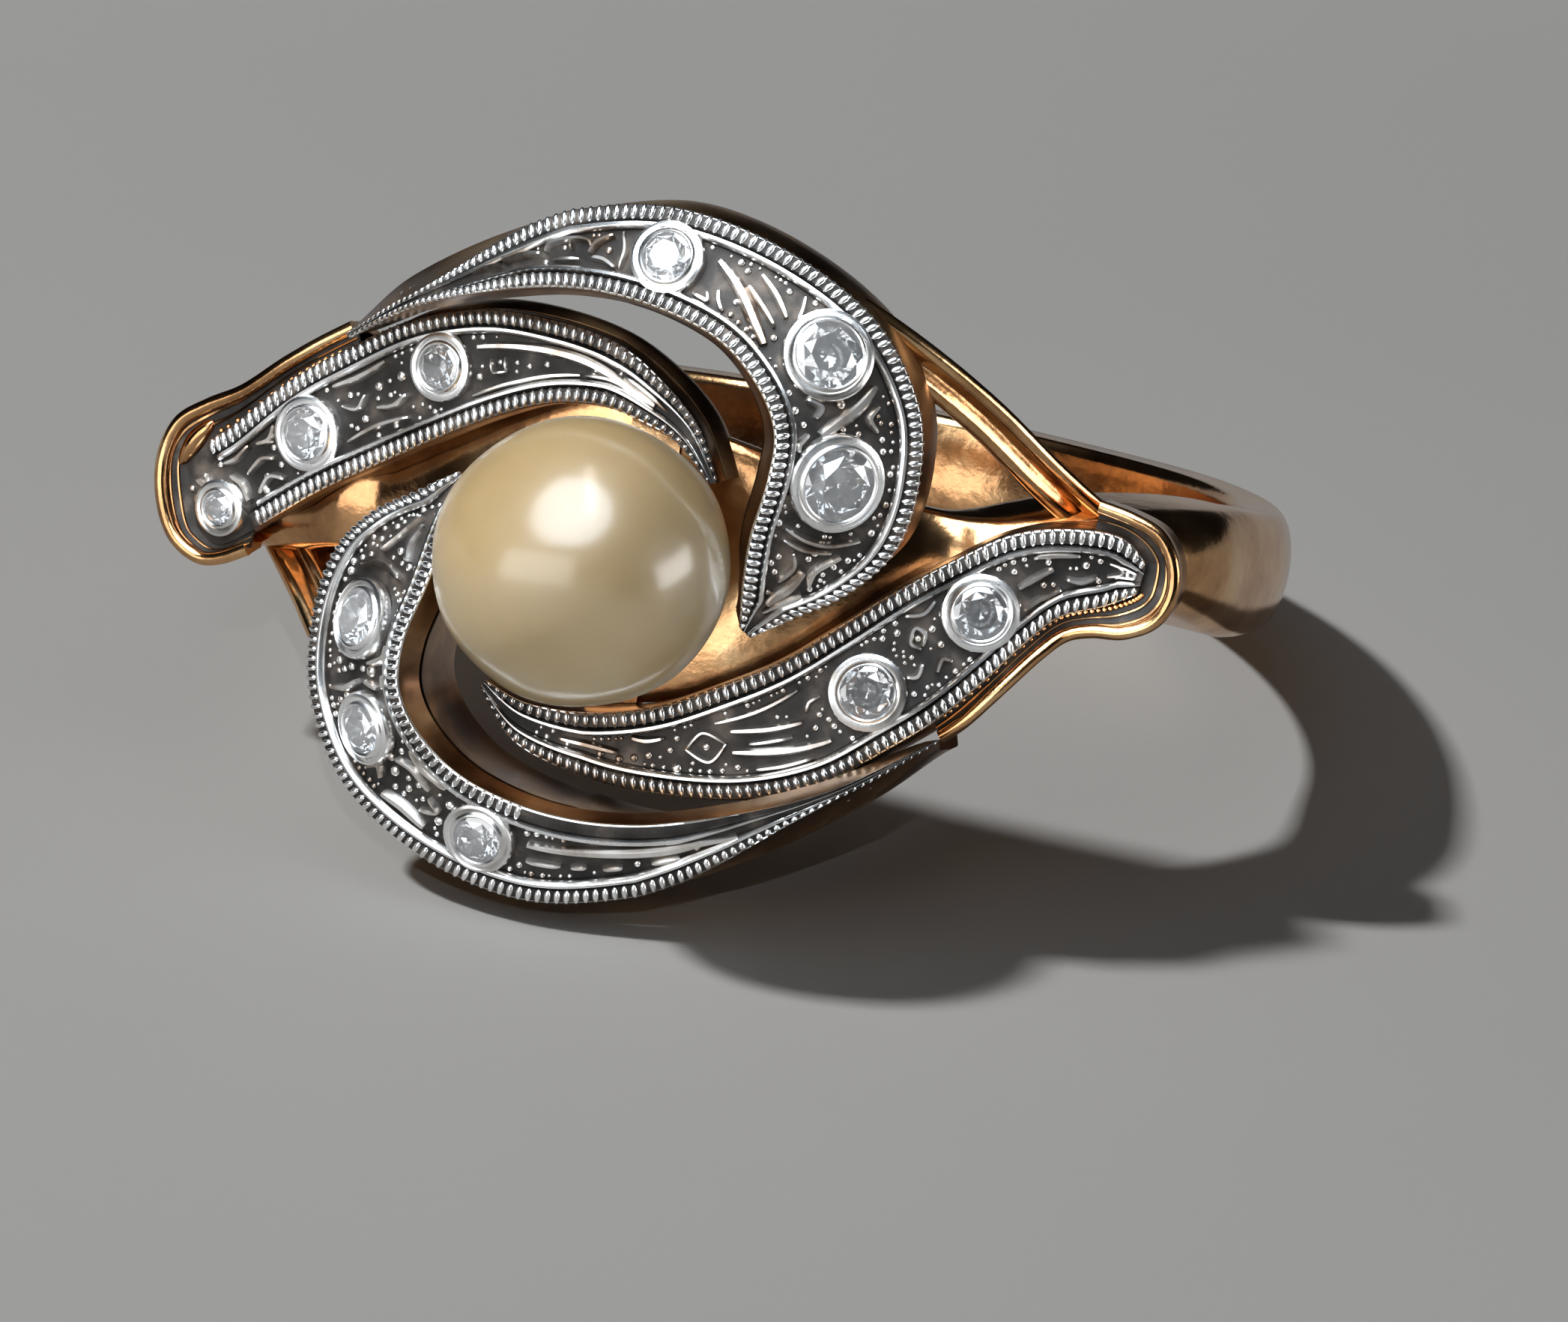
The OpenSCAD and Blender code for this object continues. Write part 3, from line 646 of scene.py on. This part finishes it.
def on_floor(scroll, spots, height):
    """Points on a scroll's floor from (place, share of the width), kept clear of the rims."""
    s, v = np.asarray(spots, float).T
    width = scroll.frame(s)[3]
    edge = np.minimum(band, width * 0.38) + 0.05
    return scroll.at(s, np.clip(v * width, edge, width - edge), height)


def ridge(scroll, half_width, spots):
    """A tapered raised line through spots on the floor."""
    spots = np.asarray(spots, float)
    t = np.linspace(0, len(spots) - 1, 8 * (len(spots) - 1) + 1)
    spots = along(spots, t)
    line = on_floor(scroll, spots, relief_foot)
    up = scroll.frame(spots[:, 0])[2] * scroll.sign
    ahead = np.gradient(line, axis=0)
    side = np.cross(up, ahead)
    side /= np.linalg.norm(side, axis=1)[:, None]
    swell = half_width * (0.3 + 0.7 * np.sin(np.pi * (0.08 + 0.84 * t / t[-1])) ** 0.7)
    shape = [(-1, -0.03), (-0.85, 0.06), (-0.4, 0.14), (0.4, 0.14), (0.85, 0.06), (1, -0.03)]
    return (*skin([
        [m + d * k * a + u * h * min(1, k / 0.05) for a, h in shape]
        for m, d, u, k in zip(line, side, up, swell * ridge_scale)
    ]), 0)


def grain(scroll, s, v, r):
    """A punched grain on the floor."""
    middle = on_floor(scroll, [(s, v)], relief_foot)[0]
    _, over, up, _ = (k[0] * scroll.sign if k.ndim > 1 else k for k in scroll.frame([s]))
    axes = np.array([over, np.cross(up, over), up * 0.8])
    return (middle + bead_points * r * grain_scale @ axes, bead_faces, 0)


# Each scroll: ridges as (half width, spots), and grains as (place, share, radius).
ornament = {
    "top": ([
        (0.06, [(1.68, 0.72), (1.9, 0.66), (2.1, 0.68)]), (0.055, [(2.15, 0.54), (2.4, 0.5), (2.62, 0.52)]),
        (0.04, [(2.68, 0.5), (2.75, 0.4), (3.0, 0.36), (3.2, 0.4), (3.25, 0.52)]),
        (0.035, [(3.0, 0.36), (3.0, 0.5)]), (0.035, [(2.78, 0.62), (3.1, 0.62)]),
        (0.05, [(3.22, 0.55), (3.3, 0.42), (3.46, 0.34)]), (0.05, [(3.25, 0.6), (3.4, 0.62), (3.55, 0.7)]),
        (0.04, [(3.56, 0.3), (3.62, 0.5), (3.6, 0.7)]),
        (0.04, [(4.5, 0.72), (4.58, 0.8), (4.68, 0.74), (4.62, 0.66)]),
        (0.045, [(4.72, 0.6), (4.8, 0.7), (4.9, 0.76)]),
        (0.10, [(4.58, 0.36), (4.85, 0.48), (5.25, 0.66), (5.6, 0.76)]),
        (0.05, [(4.95, 0.44), (5.2, 0.52), (5.5, 0.6)]), (0.06, [(5.0, 0.3), (5.25, 0.38), (5.5, 0.48)]),
        (0.04, [(5.45, 0.24), (5.55, 0.36), (5.62, 0.46)]),
        (0.10, [(6.7, 0.24), (6.9, 0.38), (7.1, 0.56), (7.25, 0.68)]),
        (0.05, [(6.95, 0.26), (7.1, 0.34), (7.3, 0.3)]), (0.05, [(6.62, 0.72), (6.8, 0.64), (6.95, 0.7)]),
        (0.045, [(7.2, 0.76), (7.35, 0.82), (7.5, 0.86)]),
        (0.05, [(8.86, 0.78), (9.05, 0.62), (9.1, 0.45), (8.95, 0.26)]),
        (0.04, [(9.1, 0.76), (9.25, 0.6), (9.25, 0.4)]), (0.06, [(9.3, 0.32), (9.7, 0.42), (10.1, 0.36)]),
        (0.05, [(9.35, 0.66), (9.7, 0.6), (10.1, 0.66)]), (0.09, [(9.75, 0.5), (10.3, 0.5), (10.9, 0.55)]),
        (0.04, [(10.4, 0.3), (10.8, 0.4), (11.2, 0.5)]),
    ], [
        (2.02, 0.5, 0.05), (2.66, 0.64, 0.05), (2.9, 0.46, 0.04), (3.42, 0.5, 0.06), (4.95, 0.62, 0.05),
        (5.0, 0.74, 0.05), (5.14, 0.77, 0.05), (5.28, 0.8, 0.05), (5.42, 0.84, 0.05), (5.6, 0.66, 0.06),
        (4.75, 0.28, 0.06), (5.3, 0.28, 0.05), (6.75, 0.82, 0.06), (6.82, 0.5, 0.07), (7.02, 0.78, 0.05),
        (7.3, 0.42, 0.05), (7.2, 0.52, 0.05), (8.8, 0.88, 0.06), (8.82, 0.2, 0.06), (9.3, 0.5, 0.06),
        (9.45, 0.52, 0.05), (9.5, 0.74, 0.05), (9.55, 0.3, 0.05), (9.9, 0.72, 0.05), (10.2, 0.3, 0.05),
        (10.6, 0.66, 0.04), (11.3, 0.6, 0.04),
    ]),
    "left": ([
        (0.05, [(0.5, 0.3), (0.8, 0.4), (0.95, 0.3)]), (0.06, [(1.62, 0.42), (1.82, 0.56), (1.86, 0.74)]),
        (0.05, [(1.5, 0.28), (1.85, 0.3), (2.15, 0.26)]), (0.05, [(2.0, 0.5), (2.3, 0.45), (2.5, 0.52)]),
        (0.06, [(2.3, 0.3), (2.5, 0.34), (2.62, 0.26)]), (0.05, [(2.1, 0.72), (2.35, 0.64), (2.58, 0.74)]),
        (0.06, [(3.66, 0.24), (4.1, 0.26), (4.5, 0.24)]), (0.04, [(3.72, 0.42), (3.95, 0.5), (4.1, 0.42)]),
        (0.05, [(3.7, 0.72), (4.2, 0.7), (4.7, 0.74)]), (0.05, [(4.25, 0.56), (4.5, 0.6), (4.72, 0.56)]),
        (0.03, [(6.02, 0.46), (6.02, 0.6)]), (0.03, [(6.02, 0.6), (6.24, 0.6)]),
        (0.03, [(6.24, 0.6), (6.24, 0.46)]),
        (0.085, [(5.85, 0.34), (6.5, 0.36), (7, 0.38), (7.5, 0.42), (8, 0.5), (8.5, 0.58), (9.1, 0.66)]),
        (0.045, [(5.7, 0.76), (6.3, 0.72), (7, 0.7), (7.5, 0.68)]),
        (0.04, [(7.6, 0.72), (8.2, 0.76), (8.8, 0.8)]), (0.04, [(8.3, 0.3), (8.8, 0.4), (9.4, 0.5)]),
    ], [
        (0.35, 0.55, 0.07), (0.4, 0.75, 0.07), (0.6, 0.62, 0.05), (0.75, 0.8, 0.05), (0.15, 0.4, 0.05),
        (1.3, 0.22, 0.05), (2.28, 0.62, 0.06), (2.2, 0.8, 0.06), (2.55, 0.6, 0.05), (2.5, 0.42, 0.05),
        (3.85, 0.36, 0.05), (4.3, 0.4, 0.07), (4.66, 0.4, 0.08), (4.0, 0.6, 0.06), (4.45, 0.76, 0.05),
        (4.15, 0.8, 0.05), (5.9, 0.24, 0.05), (5.8, 0.6, 0.06), (6.13, 0.5, 0.04), (6.4, 0.52, 0.04),
        (6.6, 0.56, 0.05), (6.9, 0.54, 0.05), (7.7, 0.6, 0.05), (8.0, 0.66, 0.05), (7.2, 0.28, 0.05),
        (7.7, 0.32, 0.05), (8.2, 0.38, 0.04),
    ]),
    "bottom": ([
        (0.06, [(7.5, 0.66), (7.6, 0.8), (7.85, 0.86)]), (0.05, [(9.0, 0.3), (9.15, 0.5), (9.0, 0.7)]),
        (0.055, [(7.2, 0.52), (7.1, 0.38), (7.12, 0.24)]), (0.05, [(7.2, 0.62), (7.06, 0.74)]),
        (0.05, [(7.3, 0.82), (7.05, 0.86)]), (0.09, [(5.7, 0.26), (5.45, 0.3), (5.15, 0.28)]),
        (0.045, [(5.95, 0.8), (5.6, 0.76), (5.2, 0.78)]), (0.05, [(5.95, 0.62), (5.7, 0.68), (5.35, 0.64)]),
        (0.04, [(5.3, 0.4), (5.12, 0.5), (5.3, 0.56)]),
        (0.08, [(4.1, 0.6), (3.5, 0.6), (2.9, 0.58), (2.45, 0.58), (1.9, 0.64)]),
        (0.04, [(4.08, 0.42), (3.72, 0.42)]), (0.04, [(3.62, 0.42), (3.46, 0.42)]),
        (0.04, [(3.3, 0.4), (3.1, 0.4)]), (0.04, [(2.8, 0.42), (2.5, 0.44)]),
        (0.05, [(9.4, 0.4), (9.9, 0.46), (10.5, 0.5)]), (0.05, [(9.35, 0.7), (9.8, 0.62), (10.3, 0.64)]),
        (0.05, [(6.05, 0.3), (6.0, 0.42), (5.85, 0.36)]),
    ], [
        (9.0, 0.16, 0.06), (8.84, 0.2, 0.07), (8.9, 0.84, 0.06), (9.25, 0.72, 0.06), (9.5, 0.56, 0.06),
        (9.6, 0.3, 0.05), (7.5, 0.3, 0.06), (7.42, 0.44, 0.06), (7.36, 0.66, 0.09), (7.45, 0.9, 0.05),
        (7.0, 0.56, 0.05), (6.98, 0.36, 0.06), (6.0, 0.56, 0.06), (5.82, 0.5, 0.08), (5.55, 0.48, 0.06),
        (5.06, 0.4, 0.07), (5.05, 0.62, 0.07), (5.5, 0.58, 0.05), (4.14, 0.34, 0.05), (4.14, 0.7, 0.05),
        (2.95, 0.42, 0.05), (2.3, 0.5, 0.04), (2.1, 0.52, 0.04), (10.0, 0.34, 0.05), (10.7, 0.6, 0.04),
        (11.0, 0.5, 0.04),
    ]),
    "right": ([
        (0.05, [(9.4, 0.66), (9.2, 0.62), (8.95, 0.64)]), (0.05, [(10.4, 0.5), (10.0, 0.5), (9.6, 0.46)]),
        (0.035, [(8.12, 0.5), (8.4, 0.36), (8.68, 0.5)]), (0.035, [(8.12, 0.5), (8.4, 0.64), (8.68, 0.5)]),
        (0.07, [(8.05, 0.42), (7.4, 0.34), (6.7, 0.28)]), (0.045, [(7.8, 0.24), (7.4, 0.22), (7.0, 0.2)]),
        (0.06, [(8.0, 0.6), (7.5, 0.54), (7.0, 0.5)]), (0.04, [(7.8, 0.46), (7.5, 0.44), (7.2, 0.42)]),
        (0.045, [(8.2, 0.7), (7.6, 0.7), (6.9, 0.74)]), (0.04, [(6.62, 0.62), (6.8, 0.62), (6.9, 0.56)]),
        (0.045, [(4.9, 0.52), (5.04, 0.6), (4.9, 0.68), (4.76, 0.6), (4.86, 0.53)]),
        (0.05, [(5.28, 0.4), (5.1, 0.36), (4.95, 0.42)]), (0.05, [(4.44, 0.3), (4.6, 0.36), (4.75, 0.3)]),
        (0.05, [(4.45, 0.78), (4.7, 0.74), (5.0, 0.8)]), (0.06, [(2.95, 0.5), (2.6, 0.52), (2.2, 0.56)]),
        (0.05, [(2.9, 0.28), (2.5, 0.3), (2.0, 0.26)]), (0.05, [(2.6, 0.72), (2.2, 0.74), (1.7, 0.7)]),
        (0.05, [(1.9, 0.42), (1.6, 0.36), (1.3, 0.42)]),
        (0.035, [(0.9, 0.3), (0.45, 0.34), (0.4, 0.66), (0.9, 0.7)]),
        (0.035, [(1.1, 0.42), (0.8, 0.46), (0.8, 0.56), (1.1, 0.6)]),
    ], [
        (10.3, 0.34, 0.05), (9.85, 0.36, 0.06), (9.6, 0.32, 0.06), (9.4, 0.4, 0.06), (9.2, 0.44, 0.06),
        (8.9, 0.5, 0.05), (8.78, 0.62, 0.05), (8.85, 0.3, 0.08), (8.4, 0.5, 0.06), (8.05, 0.28, 0.05),
        (6.85, 0.42, 0.05), (6.7, 0.8, 0.05), (4.9, 0.6, 0.05), (4.55, 0.46, 0.06), (4.62, 0.6, 0.06),
        (5.2, 0.72, 0.06), (5.25, 0.26, 0.05), (4.4, 0.66, 0.05), (3.0, 0.66, 0.05), (3.02, 0.36, 0.06),
        (2.4, 0.42, 0.05), (2.3, 0.64, 0.05), (1.55, 0.56, 0.06), (1.3, 0.62, 0.05), (1.25, 0.3, 0.05),
        (0.6, 0.5, 0.04),
    ]),
}
# Small grains fill what room is left, at places drawn by chance.
chance = np.random.default_rng(7)
for name, scroll in scrolls.items():
    ridges, grains = ornament[name]
    taken = [(scroll.at([s], [v], [-floor_d], True)[0], r + 0.26) for s, v, r in stones[name]]
    parts = []
    for half_width, spots in ridges:
        parts.append(ridge(scroll, half_width, spots))
        taken += [(p, half_width + 0.09) for p in parts[-1][0][::3]]
    for s, v, r in grains:
        parts.append(grain(scroll, s, v, r))
        taken.append((on_floor(scroll, [(s, v)], -floor_d)[0], r * grain_scale + 0.06))
    for s, v, r in chance.uniform((0.3, 0.12, 0.024), (scroll.last - 0.6, 0.88, 0.055), (1600, 3)):
        spot = on_floor(scroll, [(s, v)], -floor_d)[0]
        if all(np.linalg.norm(spot - p) > reach + r for p, reach in taken):
            parts.append(grain(scroll, s, v, r))
            taken.append((spot, r * grain_scale + 0.02))
    make_piece(name + "_ornament", parts, [relief_metal], (), 50)


# Scroll ends
# A thin plate, in the same near-black finish as the floors, which paints shade, fills the room between
# each lip and its scroll. Raised lines run along it beside the lip, with a row of grains, and the left
# one has a smooth petal of polished gold.

# Columns: share of the way from the lip to the scroll, height.
plate_profile = [
    (0.0, -0.14), (0.0, 0.0), (0.20, 0.0), (0.23, 0.04), (0.29, 0.04), (0.32, 0.0), (0.5, -0.01),
    (0.53, 0.03), (0.58, 0.03), (0.61, -0.01), (1.0, -0.02), (1.0, -0.14),
]
# The finish of the face after each of those points: 0 for the near-black floor finish, painted shade,
# 1 for polished gold.
raised = [0, 0, 1, 1, 1, 0, 1, 1, 1, 0, 0, 0]
grain_share, grain_r = 0.82, 0.055
petal_rows = [(-9.46, -0.62, 7.20), (-9.24, -0.14, 7.24), (-8.92, 0.30, 7.30)]
petal_profile = [
    (-0.19, -0.1), (-0.16, 0.02), (-0.08, 0.11), (0.0, 0.13), (0.08, 0.11), (0.16, 0.02), (0.19, -0.1),
]
# Place and share on the scroll's edge that face each row of the lip, and the rows with grains.
plate_edges = {
    "left": (left_lip_rows, [
        (1.75, 1.0), (1.1, 1.0), (0.6, 1.0), (0.05, 0.95), (0.05, 0.6), (0.05, 0.1), (0.3, 0.02),
        (1.1, 0.02), (2.3, 0.02), (3.1, 0.02), (3.6, 0.02), (4.1, 0.02),
    ], np.arange(7.3, 10.5, 0.22)),
    "right": (right_lip_rows, [
        (1.5, 1.0), (0.9, 1.0), (0.3, 1.0), (0.0, 0.95), (0.0, 0.05), (0.3, 0.0), (0.8, 0.0), (1.4, 0.0),
        (2.0, 0.0), (2.8, 0.0), (3.8, 0.0), (4.6, 0.0), (5.1, 0.0),
    ], np.arange(4.4, 11.5, 0.22)),
}


def on_plate(name, t, share, height=0.0):
    """Points on an end plate, from the lip at share 0 to the scroll at share 1."""
    rows, edge, _ = plate_edges[name]
    s, v = along(edge, t).T
    lip = along(rows, t) - (0, 0, 0.1)
    scroll_side = scrolls[name].at(s, np.clip(v, 0.02, 0.98), -0.24, True)
    share = np.reshape(share, (-1, 1))
    return lip * (1 - share) + scroll_side * share + (0, 0, 1) * np.reshape(height, (-1, 1))


for name, (rows, _, beads) in plate_edges.items():
    t = np.linspace(0, len(rows) - 1, 12 * len(rows))
    loops = np.stack([on_plate(name, t, k, h) for k, h in plate_profile], 1)
    points, faces = skin(loops)
    parts = [(points, faces, (raised * len(t))[:len(faces) - 2] + [0, 0])]
    parts += [
        (on_plate(name, [k], grain_share, 0.01) + bead_points * grain_r, bead_faces, 1) for k in beads
    ]
    if name == "left":
        middles = along(petal_rows, np.linspace(0, 2, 17))
        swell = np.sin(np.linspace(0.15, math.pi - 0.15, 17)) ** 0.8
        over = np.array((0.83, -0.55, 0.0))
        loops = [
            [m + over * a * k + (0, 0, h * k) for a, h in petal_profile] for m, k in zip(middles, swell)
        ]
        parts.append((*skin(loops), 1))
    make_piece(name + "_end_plate", parts, [oxide_and_shade_floor, polished_gold], (), 40)


# Collets
# Each stone sits in a round cup of bright white metal with a turned groove. The cup stands on the
# scroll's floor, and its edge is rubbed over the stone's girdle.
for name, scroll in scrolls.items():
    collets = []
    for s, share, r in stones[name]:
        far, over, up, width = (v[0] for v in scroll.frame([s]))
        middle = far + over * width * share
        # Columns: radius, height over the rims.
        profile = [
            (centre_r, -0.8 * r - 0.06), (0.30 * r, -0.8 * r - 0.04), (0.9 * r + 0.16, -0.25),
            (r + 0.19, -0.22), (r + 0.19, -0.05), (r + 0.17, 0.0), (r + 0.12, 0.02), (r + 0.09, -0.02),
            (r + 0.07, -0.05), (r + 0.05, -0.01), (r + 0.02, 0.045), (r - 0.02, 0.06), (r - 0.05, 0.04),
            (r - 0.02, -0.01), (r - 0.01, -0.06), (0.62 * r, -0.46 * r), (0.20 * r, -0.79 * r),
            (centre_r, -0.8 * r),
        ]
        cup = lathe(profile, middle, over, np.cross(up, over), up, 40) * scroll.sign
        collets.append((*skin(cup, True), 0))
    make_piece(name + "_collets", collets, [white_metal], (), 45)


# Stones
# Eleven small round diamonds in an old cut, held by their collets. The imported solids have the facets,
# so they are shown as they are, in a clear hard finish.
diamond, _ = new_finish(
    "diamond", 700, 2, [(0.3, (0.93, 0.95, 0.97)), (0.7, (1.0, 1.0, 1.0))],
    {"Roughness": 0.02, "IOR": 2.42, "Transmission Weight": 0.72}, own_axes=False,
)
for name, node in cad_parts.items():
    if "_stone_" in name:
        node.data.materials.clear()
        node.data.materials.append(diamond)


# Pearl
# A cream pearl, a little wider than high and not quite even, with a soft lustre. It is drilled half
# through and glued on its peg.
pearl_skin, _ = new_finish(
    "pearl_skin", 260, 3,
    [(0.30, (0.59, 0.43, 0.21)), (0.50, (0.67, 0.505, 0.265)), (0.72, (0.75, 0.60, 0.36))], {
        "Roughness": 0.45, "Subsurface Weight": 0.7, "Subsurface Radius": (0.0022, 0.0018, 0.0011),
        "Coat Weight": 0.9, "Coat Roughness": 0.19, "Coat IOR": 1.6,
    },
)

ball = bmesh.new()
bmesh.ops.create_icosphere(ball, subdivisions=6, radius=1.0)
directions = np.array([v.co for v in ball.verts])
ball_faces = [tuple(v.index for v in f.verts) for f in ball.faces]
ball.free()
swell = 0.006 * np.sin(directions @ (2.1, 1.3, -0.7) * 2.3)
swell += 0.004 * np.sin(directions @ (-1.2, 2.4, 1.9) * 3.1 + 1.0)
widening, size_share = 0.03, 0.984
directions += widening * (directions @ view_right)[:, None] * view_right
ball_points = pearl_middle + directions * (pearl_r * (size_share + swell))[:, None]
make_piece("pearl_ball", [(ball_points, ball_faces, 0)], [pearl_skin], ("pearl",), 60)
